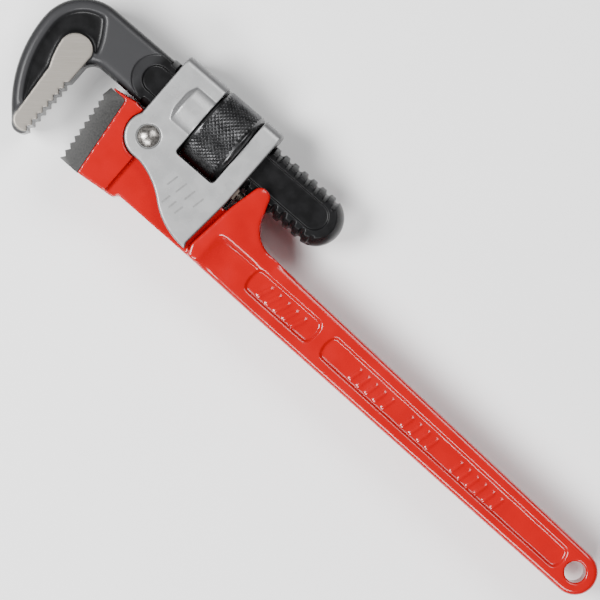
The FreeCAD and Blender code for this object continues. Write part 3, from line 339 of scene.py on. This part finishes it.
def wear_and_shade_group():
    """Where edges are rubbed and where hollows gather dirt, broken up by noise."""
    group = new_group("Wear and shade", (("Edge", "Float"), ("Hollow shade", "Float")),
                      (("Width", "Float", 0.03), ("Break", "Float", 0.5)))
    wire = Wiring(group)
    source, sink = group.nodes.new("NodeGroupInput"), group.nodes.new("NodeGroupOutput")
    place = wire.add("TexCoord").outputs["Object"]
    point = wire.add("NewGeometry").outputs["Pointiness"]
    ragged = wire.spread(wire.noise(place, 420.0, 4.0), 0.35, 0.65)
    high = wire.maths("ADD", 0.5, source.outputs["Width"])
    edge = wire.spread(point, 0.505, high)
    kept = wire.maths("SUBTRACT", 1.0, wire.maths("MULTIPLY", ragged, source.outputs["Break"]))
    wire.put(sink.inputs["Edge"], wire.maths("MULTIPLY", edge, kept))
    # painted shade: this output grows where the surface is hollow, so that the colour can be darkened there
    low = wire.maths("SUBTRACT", 0.5, source.outputs["Width"])
    wire.put(sink.inputs["Hollow shade"], wire.spread(point, 0.495, low))
    return group


def streak_group():
    """Fine parallel scratches from grinding, along one direction."""
    group = new_group("Streaks", (("Height", "Float"), ("Tone", "Float")),
                      (("Stretch", "Vector", (60.0, 60.0, 3000.0)), ("Turn", "Float", 0.0)))
    wire = Wiring(group)
    source, sink = group.nodes.new("NodeGroupInput"), group.nodes.new("NodeGroupOutput")
    place = wire.add("TexCoord").outputs["Object"]
    turned = wire.add("VectorRotate", rotation_type="Z_AXIS")
    wire.put(turned.inputs["Vector"], place)
    wire.put(turned.inputs["Angle"], source.outputs["Turn"])
    stretched = wire.add("VectorMath", operation="MULTIPLY")
    wire.put(stretched.inputs[0], turned.outputs[0])
    wire.put(stretched.inputs[1], source.outputs["Stretch"])
    streaks = wire.noise(stretched.outputs[0], 1.0, 5.0, 0.7)
    wire.put(sink.inputs["Height"], streaks)
    wire.put(sink.inputs["Tone"], wire.spread(streaks, 0.3, 0.7))
    return group


def dust_group():
    """A thin film of dust and handling marks that changes the gloss."""
    group = new_group("Film", (("Film", "Float"), ("Specks", "Float")), (("Scale", "Float", 60.0),))
    wire = Wiring(group)
    source, sink = group.nodes.new("NodeGroupInput"), group.nodes.new("NodeGroupOutput")
    place = wire.add("TexCoord").outputs["Object"]
    film = wire.noise(place, source.outputs["Scale"], 5.0, 0.6)
    specks = wire.noise(place, 2600.0, 1.0)
    wire.put(sink.inputs["Film"], wire.spread(film, 0.4, 0.75, smooth=True))
    wire.put(sink.inputs["Specks"], wire.spread(specks, 0.68, 0.76))
    return group


GROUPS = {}


def use(wire, name, **numbers):
    """Places a shared node group, building it the first time."""
    makers = {"Skin": grain_group, "Wear and shade": wear_and_shade_group, "Streaks": streak_group, "Film": dust_group}
    if name not in GROUPS:
        GROUPS[name] = makers[name]()
    node = wire.add("Group", node_tree=GROUPS[name])
    for label, number in numbers.items():
        wire.put(node.inputs[label], number)
    return node.outputs


def new_material(name, **constants):
    """A material with its shader's constant values set. Gives the material, its shader and its wiring."""
    material = bpy.data.materials.new(name)
    material.use_nodes = True
    shader = material.node_tree.nodes["Principled BSDF"]
    for label, number in constants.items():
        shader.inputs[label.replace("_", " ")].default_value = number
    return material, shader, Wiring(material.node_tree)


def bump(wire, shader, height, strength, depth, under=None):
    """Adds a bump to the shader's normal, on top of another one if given."""
    node = wire.add("Bump")
    node.inputs["Strength"].default_value = strength
    node.inputs["Distance"].default_value = depth
    wire.put(node.inputs["Height"], height)
    if under is not None:
        wire.put(node.inputs["Normal"], under)
    wire.put(shader.inputs["Normal"], node.outputs["Normal"])
    return node.outputs["Normal"]


def red_enamel():
    """Glossy red enamel over a cast skin."""
    material, shader, wire = new_material("Red enamel", IOR=1.4, Coat_Weight=0.35, Coat_Roughness=0.05)
    skin = use(wire, "Skin", Coarse=95.0, Fine=420.0, Balance=0.3)
    wear_and_shade = use(wire, "Wear and shade", Width=0.07, Break=0.8)
    film = use(wire, "Film", Scale=45.0)
    tone = wire.mix(skin["Mottle"], (0.355, 0.0006, 0.0020, 1), (0.39, 0.0007, 0.0024, 1))
    # painted shade: the red is darkened where the surface is hollow
    tone = wire.mix(wire.maths("MULTIPLY", wear_and_shade["Hollow shade"], 0.6), tone, (0.16, 0.0006, 0.001, 1))
    tone = wire.mix(wire.maths("MULTIPLY", wear_and_shade["Edge"], 0.25), tone, (0.55, 0.02, 0.015, 1))
    wire.put(shader.inputs["Base Color"], tone)
    wire.put(shader.inputs["Roughness"], wire.spread(film["Film"], 0, 1, 0.16, 0.26))
    bump(wire, shader, skin["Height"], 0.25, 0.07 * MM)
    return material


def grey_casting():
    """Silver-grey satin coat with a fine sparkle."""
    material, shader, wire = new_material("Grey casting", Metallic=0.2, IOR=1.5)
    skin = use(wire, "Skin", Coarse=160.0, Fine=1500.0, Balance=0.6)
    wear_and_shade = use(wire, "Wear and shade", Width=0.08, Break=0.6)
    film = use(wire, "Film", Scale=80.0)
    tone = wire.mix(skin["Mottle"], (0.305, 0.307, 0.309, 1), (0.345, 0.347, 0.349, 1))
    tone = wire.mix(film["Specks"], tone, (0.46, 0.46, 0.465, 1))
    # painted shade: the grey is darkened where the surface is hollow
    tone = wire.mix(wire.maths("MULTIPLY", wear_and_shade["Hollow shade"], 0.7), tone, (0.15, 0.15, 0.15, 1))
    tone = wire.mix(wire.maths("MULTIPLY", wear_and_shade["Edge"], 0.5), tone, (0.60, 0.60, 0.605, 1))
    # painted shade: faces whose normal leans away from the vertical are painted darker, as if turned from the
    # light
    facing = wire.add("SeparateXYZ")
    wire.put(facing.inputs[0], wire.add("NewGeometry").outputs["Normal"])
    turned = wire.spread(wire.maths("ABSOLUTE", facing.outputs["Z"]), 0.84, 1.0)
    tone = wire.mix(turned, (0.13, 0.13, 0.132, 1), tone)
    wire.put(shader.inputs["Base Color"], tone)
    wire.put(shader.inputs["Roughness"], wire.spread(film["Film"], 0, 1, 0.26, 0.34))
    bump(wire, shader, skin["Height"], 0.35, 0.08 * MM)
    return material


def black_forging():
    """Black forged steel, bright where its side faces are ground."""
    material, shader, wire = new_material("Black forging", IOR=1.25)
    skin = use(wire, "Skin", Coarse=220.0, Fine=1100.0, Balance=0.45)
    wear_and_shade = use(wire, "Wear and shade", Width=0.10, Break=0.8)
    streaks = use(wire, "Streaks", Stretch=(2600.0, 70.0, 2600.0), Turn=math.radians(52))
    place = wire.add("TexCoord").outputs["Object"]
    height = wire.add("SeparateXYZ")
    wire.put(height.inputs[0], place)
    above = wire.maths("ABSOLUTE", wire.maths("SUBTRACT", height.outputs["Z"], PIN.z))
    ground = wire.spread(above, 9.7 * MM, 9.95 * MM)
    forged = wire.spread(height.outputs["X"], PIN.x - 15 * MM, PIN.x - 19 * MM)
    # painted highlight: the raised rim round the hook's hollow is painted lighter grey than the black inside
    # it
    rim = wire.maths("MULTIPLY", forged, wire.spread(above, 7.3 * MM, 8.6 * MM))
    black = wire.mix(skin["Mottle"], (0.0045, 0.0045, 0.0047, 1), (0.0085, 0.0085, 0.009, 1))
    black = wire.mix(wire.maths("MULTIPLY", rim, 0.8), black, (0.042, 0.042, 0.044, 1))
    rubbed = wire.maths("MULTIPLY", wear_and_shade["Edge"], wire.maths("MULTIPLY", forged, 0.2))
    black = wire.mix(rubbed, black, (0.06, 0.06, 0.062, 1))
    steel = wire.mix(streaks["Tone"], (0.225, 0.207, 0.183, 1), (0.275, 0.255, 0.228, 1))
    wire.put(shader.inputs["Base Color"], wire.mix(ground, black, steel))
    wire.put(shader.inputs["Metallic"], wire.maths("MULTIPLY", ground, 0.55))
    wire.put(shader.inputs["Roughness"], wire.spread(ground, 0, 1, 0.27, 0.40))
    skinned = bump(wire, shader, skin["Height"], 0.4, 0.04 * MM)
    bump(wire, shader, wire.maths("MULTIPLY", streaks["Height"], ground), 0.25, 0.02 * MM, skinned)
    return material


def dark_metal(name, light, dark, roughness, shine, scale):
    """Dark steel with a mottled tone, lighter on its edges."""
    material, shader, wire = new_material(name, IOR=1.5, Metallic=shine)
    skin = use(wire, "Skin", Coarse=scale, Fine=6 * scale, Balance=0.5)
    wear_and_shade = use(wire, "Wear and shade", Width=0.12, Break=0.4)
    tone = wire.mix(skin["Mottle"], (*dark, 1), (*light, 1))
    rubbed = tuple(min(1, 2.2 * part) for part in light)
    tone = wire.mix(wire.maths("MULTIPLY", wear_and_shade["Edge"], 0.5), tone, (*rubbed, 1))
    wire.put(shader.inputs["Base Color"], tone)
    wire.put(shader.inputs["Roughness"], wire.spread(skin["Mottle"], 0, 1, roughness, roughness + 0.12))
    bump(wire, shader, skin["Height"], 0.4, 0.02 * MM)
    return material


def plain_floor():
    """Pale matt table top."""
    material, shader, wire = new_material("Pale table", Roughness=0.7)
    place = wire.add("TexCoord").outputs["Object"]
    tone = wire.spread(wire.noise(place, 12.0, 2.0), 0.3, 0.7, 0.94, 0.96)
    wire.put(shader.inputs["Base Color"], tone)
    return material


# ---------------------------------------------------------------- pieces

def build_handle(soft):
    """The handle, softened like a casting, with raised bars in its panels."""
    mesh = joined("handle")
    form = bmesh.new()
    form.from_mesh(mesh)
    floor, top = 6.2 * MM, 7.15 * MM
    badge_step, badge_bar = 4.6, 1.15 * MM
    row_step, row_bar = 4.4, 0.95 * MM
    badge = [(75.5 + badge_step * n, -17.9 - 0.14 * n) for n in range(5)]
    rows = [(125.5, 5, -18.6), (154.0, 4, -19.3), (181.0, 6, -20.3)]    # first bar's x, how many bars, y
    for side in (1, -1):
        heights = (PIN.z + side * floor, PIN.z + side * top)
        for x, y in badge:
            start = Vector((PIN.x + x * MM, PIN.y + (y - 1.6) * MM))
            end = start + Vector((2.2, 5.0)) * MM
            bar(form, start, end, badge_bar, min(heights), max(heights))
        for x, count, y in rows:
            for number in range(count):
                start = Vector((PIN.x + (x + row_step * number) * MM, PIN.y + (y - 2.0 - 0.1 * number) * MM))
                end = start + Vector((1.2, 4.6)) * MM
                bar(form, start, end, row_bar, min(heights), max(heights))
    bmesh.ops.recalc_face_normals(form, faces=form.faces)
    form.to_mesh(mesh)
    form.free()
    obj = new_object("Handle_casting", mesh, red_enamel())
    remesh(obj, soft.handle_cell, soft.passes)

    def root(points):
        x, y = points[:, 0] - PIN.x, points[:, 1] - PIN.y
        out = np.abs(points[:, 2] - PIN.z)
        near = ramp(x, 38 * MM, 44 * MM) * (1 - ramp(x, 66 * MM, 84 * MM))
        return near * ramp(out, 7.9 * MM, 8.6 * MM)
    relax(obj, soft.root_passes, root)
    thin_out(obj, soft.most_faces)
    hand_over(obj, "handle")


def build_frame(soft):
    """The frame, softened like a casting, with plain stamped strokes and dark rings round its pin."""
    obj = new_object("Frame_casting", joined("frame"), grey_casting())
    remesh(obj, soft.frame_cell, soft.passes)
    thin_out(obj, soft.most_faces)
    hand_over(obj, "frame")
    # painted shade: the strokes and the rings round the pin are dark to stand for the shade in stamped grooves
    # and gaps
    shade = dark_metal("Stamp and gap shade", (0.13, 0.13, 0.13), (0.08, 0.08, 0.08), 0.5, 0.0, 900.0)
    upper_row = [(18.5 + 4.6 * n, -9.6, 1.0, 4.8) for n in range(4)]
    lower_row = [(21.5 + 3.4 * n, -16.4, 0.7, 3.6) for n in range(3)]
    marks("Frame_marks", "frame", upper_row + lower_row, 12.9 * MM, 13.07 * MM, shade)
    pin_gap_shade(shade)


def pin_gap_shade(shade):
    """Flat dark rings on both sides of the frame, which stand for the gaps round the frame pin's heads."""
    form = bmesh.new()
    steps = 64
    inner, outer, out = 4.55 * MM, 5.0 * MM, 13.02 * MM
    for side in (1, -1):
        rings = [[form.verts.new((PIN.x + radius * math.cos(2 * math.pi * n / steps),
                                  PIN.y + radius * math.sin(2 * math.pi * n / steps), PIN.z + side * out))
                  for n in range(steps)] for radius in (inner, outer)]
        for n in range(steps):
            after = (n + 1) % steps
            form.faces.new((rings[0][n], rings[1][n], rings[1][after], rings[0][after]))
    mesh = bpy.data.meshes.new("Pin gap shade")
    form.to_mesh(mesh)
    form.free()
    obj = new_object("Pin_gap_shade_rings", mesh, shade)
    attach(obj, "frame")


def build_hook(soft):
    """The hook jaw: a softened forging ahead of the frame, and the thread behind it on a finer grid."""
    shade = black_forging()
    end = PIN.x - 11.6 * MM
    obj = new_object("Hook_forging", joined("hook_jaw"), shade)
    remesh(obj, soft.jaw_cell, 3)
    keep_side(obj, end, front=True)

    def rim(points):
        x, y = points[:, 0] - PIN.x, points[:, 1] - AXIS.y
        out = np.abs(points[:, 2] - PIN.z)
        crown = 1 - ramp(x, -41.5 * MM, -40.2 * MM)
        neck = (1 - ramp(x, -28 * MM, -24 * MM)) * ramp(y, -10 * MM, -7 * MM)
        return np.clip(crown + neck, 0, 1) * (1 - ramp(out, 9.25 * MM, 9.5 * MM))
    relax(obj, soft.rim_passes, rim)
    thin_out(obj, soft.most_faces)
    hand_over(obj, "hook_jaw")

    shank = new_object("Hook_thread", joined("hook_jaw"), shade)
    remesh(shank, soft.thread_cell, 2)
    keep_side(shank, end, front=False)
    thin_out(shank, soft.most_faces)
    add_on(shank, "hook_jaw")
    strokes = [(45.5 + 4.3 * n, 17.4 + 0.1 * n, 0.6, 4.0) for n in range(4)]
    marks("Shank_marks", "hook_jaw", strokes, 7.06 * MM, 7.22 * MM, shade)


def knurl_tree():
    """Geometry nodes: rows of pyramids standing on a cylinder along X, staggered into diamonds."""
    tree = bpy.data.node_groups.new("Knurl", "GeometryNodeTree")
    tree.interface.new_socket("Geometry", in_out="OUTPUT", socket_type="NodeSocketGeometry")
    sockets = {}
    kinds = (("Around", "Int"), ("Rows", "Int"), ("Start", "Float"), ("Length", "Float"),
             ("Root radius", "Float"), ("Rise", "Float"), ("Centre", "Vector"), ("Material", "Material"))
    for name, kind in kinds:
        socket = tree.interface.new_socket(name, in_out="INPUT", socket_type=f"NodeSocket{kind}")
        sockets[name] = socket.identifier
    nodes, links = tree.nodes, tree.links
    given, out = nodes.new("NodeGroupInput").outputs, nodes.new("NodeGroupOutput")

    def sum_of(operation, *sources):
        node = nodes.new("ShaderNodeMath")
        node.operation = operation
        for number, source in enumerate(sources):
            if isinstance(source, bpy.types.NodeSocket):
                links.new(source, node.inputs[number])
            else:
                node.inputs[number].default_value = source
        return node.outputs[0]

    def vector(x, y, z):
        node = nodes.new("ShaderNodeCombineXYZ")
        for number, source in enumerate((x, y, z)):
            if isinstance(source, bpy.types.NodeSocket):
                links.new(source, node.inputs[number])
            else:
                node.inputs[number].default_value = source
        return node.outputs[0]

    index = nodes.new("GeometryNodeInputIndex").outputs[0]
    row = sum_of("FLOOR", sum_of("DIVIDE", sum_of("ADD", index, 0.5), given["Around"]))
    stagger = sum_of("MULTIPLY", sum_of("MODULO", row, 2.0), 0.5)
    turn = sum_of("DIVIDE", sum_of("MULTIPLY", sum_of("ADD", index, stagger), 2 * math.pi), given["Around"])
    step = sum_of("DIVIDE", given["Length"], sum_of("ADD", given["Rows"], 1.0))
    along = sum_of("ADD", given["Start"], sum_of("MULTIPLY", sum_of("ADD", row, 1.0), step))
    across = sum_of("MULTIPLY", given["Root radius"], -1.0)
    spot = vector(along, sum_of("MULTIPLY", across, sum_of("SINE", turn)),
                  sum_of("MULTIPLY", given["Root radius"], sum_of("COSINE", turn)))
    moved = nodes.new("ShaderNodeVectorMath")
    links.new(spot, moved.inputs[0])
    links.new(given["Centre"], moved.inputs[1])
    points = nodes.new("GeometryNodePoints")
    links.new(sum_of("MULTIPLY", given["Around"], given["Rows"]), points.inputs["Count"])
    links.new(moved.outputs[0], points.inputs["Position"])
    pyramid = nodes.new("GeometryNodeMeshCone")
    pyramid.fill_type = "NGON"
    pyramid.inputs["Vertices"].default_value = 4
    pyramid.inputs["Radius Top"].default_value = 0.16
    pyramid.inputs["Radius Bottom"].default_value = 1.0
    pyramid.inputs["Depth"].default_value = 1.0
    half_width = sum_of("DIVIDE", sum_of("MULTIPLY", given["Root radius"], math.pi), given["Around"])
    place = nodes.new("GeometryNodeInstanceOnPoints")
    links.new(points.outputs[0], place.inputs["Points"])
    links.new(pyramid.outputs["Mesh"], place.inputs["Instance"])
    links.new(vector(turn, 0.0, 0.0), place.inputs["Rotation"])
    links.new(vector(step, half_width, given["Rise"]), place.inputs["Scale"])
    real = nodes.new("GeometryNodeRealizeInstances")
    links.new(place.outputs[0], real.inputs[0])
    coat = nodes.new("GeometryNodeSetMaterial")
    links.new(real.outputs[0], coat.inputs["Geometry"])
    links.new(given["Material"], coat.inputs["Material"])
    links.new(coat.outputs[0], out.inputs[0])
    return tree, sockets


def build_nut(knurl):
    """The adjusting nut: the frame's thread and faces, a turned shell and a diamond knurl round it."""
    low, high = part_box("adjusting_nut")
    radius, width, rim = (high.z - low.z) / 2, high.x - low.x, 2.2 * MM
    centre = Vector((low.x, (low.y + high.y) / 2, (low.z + high.z) / 2))
    shade = dark_metal("Black nut", (0.075, 0.075, 0.077), (0.035, 0.035, 0.036), 0.20, 0.9, 300.0)
    form = bmesh.new()
    form.from_mesh(joined("adjusting_nut"))
    outer = [v for v in form.verts if math.hypot(v.co.y - centre.y, v.co.z - centre.z) > radius - rim + 1e-5]
    bmesh.ops.delete(form, geom=outer, context="VERTS")
    root = radius - knurl.rise
    front, rear = knurl.start, knurl.start + knurl.length
    profile = [(0.0, radius - rim)]
    profile += [(rim * (1 - math.cos(a)), radius - rim * (1 - math.sin(a)))
                for a in np.radians(np.arange(7.5, 53, 7.5)) if rim * (1 - math.cos(a)) < front]
    profile += [(front, root), (rear, root), (rear + 0.35 * MM, radius - 0.03 * MM)]
    profile += [(width - rim * (1 - math.cos(a)), radius - rim * (1 - math.sin(a)))
                for a in np.radians(np.arange(90, -1, -9.0))
                if width - rim * (1 - math.cos(a)) > rear + 0.4 * MM]
    steps = 128
    rings = [[form.verts.new((centre.x + x, centre.y + r * math.cos(2 * math.pi * n / steps),
                              centre.z + r * math.sin(2 * math.pi * n / steps))) for n in range(steps)]
             for x, r in profile]
    for first, second in zip(rings, rings[1:]):
        for n in range(steps):
            form.faces.new((first[n], first[(n + 1) % steps], second[(n + 1) % steps], second[n]))
    mesh = bpy.data.meshes.new("Nut")
    form.to_mesh(mesh)
    form.free()
    obj = new_object("Nut_body", mesh, shade)
    hand_over(obj, "adjusting_nut")
    obj.data.set_sharp_from_angle(angle=math.radians(28))

    tree, sockets = knurl_tree()
    diamonds = new_object("Nut_knurl", bpy.data.meshes.new("Knurl"), shade)
    cut = diamonds.modifiers.new("Knurl", "NODES")
    cut.node_group = tree
    for name, setting in (("Around", knurl.around), ("Rows", knurl.rows), ("Start", knurl.start),
                          ("Length", knurl.length), ("Root radius", root), ("Rise", knurl.rise),
                          ("Centre", centre), ("Material", shade)):
        cut[sockets[name]] = setting
    bake(diamonds)
    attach(diamonds, "nut")


def build_insert():
    """The lower jaw's toothed insert with its edges broken."""
    mesh = joined("lower_jaw")
    shade = dark_metal("Tool steel", (0.026, 0.0255, 0.0245), (0.008, 0.008, 0.0078), 0.40, 0.1, 1500.0)
    obj = new_object("Lower_jaw_insert", mesh, shade)
    bevel = obj.modifiers.new("Edges", "BEVEL")
    bevel.width = 0.18 * MM
    bevel.segments = 2
    bevel.limit_method = "ANGLE"
    bevel.angle_limit = math.radians(25)
    bake(obj)
    hand_over(obj, "lower_jaw")
    obj.data.set_sharp_from_angle(angle=math.radians(40))


def build_small():
    """The pins, the rivet and the springs, with their materials."""
    bright = dark_metal("Bright steel", (0.34, 0.32, 0.30), (0.16, 0.15, 0.14), 0.22, 0.85, 900.0)
    spring = dark_metal("Spring steel", (0.22, 0.18, 0.15), (0.11, 0.09, 0.075), 0.34, 0.7, 400.0)
    for node, name, shade, slot in (
            ("frame_pin", "Frame_pin_steel", bright, "bright_steel"),
            ("jaw_pin", "Jaw_pin_steel", bright, "bright_steel"),
            ("spring_rivet", "Spring_rivet_steel", bright, "bright_steel"),
            ("leaf_spring", "Leaf_spring_steel", spring, "spring_steel"),
            ("coil_spring", "Coil_spring_wire", spring, "spring_steel")):
        obj = new_object(name, joined(node), shade)
        hand_over(obj, node)
        obj.data.set_sharp_from_angle(angle=math.radians(35))


def panel_light(name, place, target, size, power):
    """A rectangular soft box aimed at a point."""
    light = bpy.data.lights.new(name, "AREA")
    light.shape = "RECTANGLE"
    light.size, light.size_y = size
    light.energy = power
    obj = bpy.data.objects.new(name, light)
    obj.location = place
    obj.rotation_euler = (Vector(target) - Vector(place)).to_track_quat("-Z", "Y").to_euler()
    bpy.context.scene.collection.objects.link(obj)


def build_stage(view):
    """A plain pale table, soft studio light and the camera straight above."""
    form = bmesh.new()
    bmesh.ops.create_grid(form, x_segments=1, y_segments=1, size=3.0)
    mesh = bpy.data.meshes.new("Table")
    form.to_mesh(mesh)
    form.free()
    floor = new_object("Table", mesh, plain_floor())
    world = bpy.data.worlds.new("Studio")
    world.use_nodes = True
    world.node_tree.nodes["Background"].inputs["Color"].default_value = (0.95, 0.97, 1.0, 1)
    world.node_tree.nodes["Background"].inputs["Strength"].default_value = 0.12
    bpy.context.scene.world = world
    centre = Vector(view.centre)
    right = Vector((math.cos(view.roll), math.sin(view.roll), 0))
    up = Vector((-math.sin(view.roll), math.cos(view.roll), 0))
    for name, across, along, height, size, power in (
            ("Key", -0.80, 0.10, 1.05, (0.6, 0.5), 30.0), ("Fill", 0.55, 0.55, 0.95, (0.6, 0.5), 9.0),
            ("Low", -0.30, -0.80, 1.00, (0.7, 0.4), 18.0), ("Over", 0.24, 0.28, 1.20, (0.2, 0.2), 0.8)):
        place = centre + right * across + up * along + Vector((0, 0, height))
        panel_light(name, place, centre, size, power)
    camera = bpy.data.cameras.new("Camera")
    camera.sensor_width = 36.0
    camera.lens = camera.sensor_width * view.distance / view.field
    camera.clip_end = 20.0
    eye = bpy.data.objects.new("Camera", camera)
    eye.location = centre + Vector((0, 0, view.distance))
    eye.rotation_euler = (0, 0, view.roll)
    bpy.context.scene.collection.objects.link(eye)
    bpy.context.scene.camera = eye


# ---------------------------------------------------------------- operators and panel

def piece_operator(name, label, words, run):
    """An operator class that builds one piece or group of pieces."""
    def execute(self, context):
        run(context.scene)
        return {"FINISHED"}
    return type(f"WRENCH_OT_{name}", (bpy.types.Operator,), {
        "__doc__": words, "bl_idname": f"wrench.{name}", "bl_label": label, "bl_options": {"REGISTER", "UNDO"},
        "execute": execute})


OPERATORS = [
    piece_operator("handle", "Handle", "Build the red cast handle", lambda s: build_handle(s.wrench_soft)),
    piece_operator("casting", "Frame", "Build the grey cast frame", lambda s: build_frame(s.wrench_soft)),
    piece_operator("hook", "Hook jaw", "Build the black forged hook jaw",
                   lambda s: build_hook(s.wrench_soft)),
    piece_operator("nut", "Adjusting nut", "Build the knurled nut", lambda s: build_nut(s.wrench_knurl)),
    piece_operator("insert", "Lower jaw", "Build the toothed insert", lambda s: build_insert()),
    piece_operator("small", "Pins and springs", "Build the pins, rivet and springs", lambda s: build_small()),
    piece_operator("stage", "Stage", "Build the table, lights and camera",
                   lambda s: build_stage(s.wrench_view)),
]


class WRENCH_PT_looks(bpy.types.Panel):
    """Sidebar panel with the settings and one button for each piece"""
    bl_label = "Wrench"
    bl_idname = "WRENCH_PT_looks"
    bl_space_type = "VIEW_3D"
    bl_region_type = "UI"
    bl_category = "Wrench"

    def draw(self, context):
        for group in (context.scene.wrench_soft, context.scene.wrench_knurl, context.scene.wrench_view):
            box = self.layout.box()
            for name in group.__annotations__:
                box.prop(group, name)
        for operator in OPERATORS:
            self.layout.operator(operator.bl_idname)


SETTINGS = {"wrench_soft": SoftSettings, "wrench_knurl": KnurlSettings, "wrench_view": StageSettings}


def register():
    for kind in (*SETTINGS.values(), *OPERATORS, WRENCH_PT_looks):
        bpy.utils.register_class(kind)
    for name, kind in SETTINGS.items():
        setattr(bpy.types.Scene, name, PointerProperty(type=kind))


def unregister():
    for name in SETTINGS:
        delattr(bpy.types.Scene, name)
    for kind in (WRENCH_PT_looks, *OPERATORS[::-1], *list(SETTINGS.values())[::-1]):
        bpy.utils.unregister_class(kind)


def main():
    """Builds everything in order and notes the size before and after."""
    register()
    for operator in OPERATORS:
        family, name = operator.bl_idname.split(".")
        getattr(getattr(bpy.ops, family), name)()


if __name__ == "__main__":
    main()
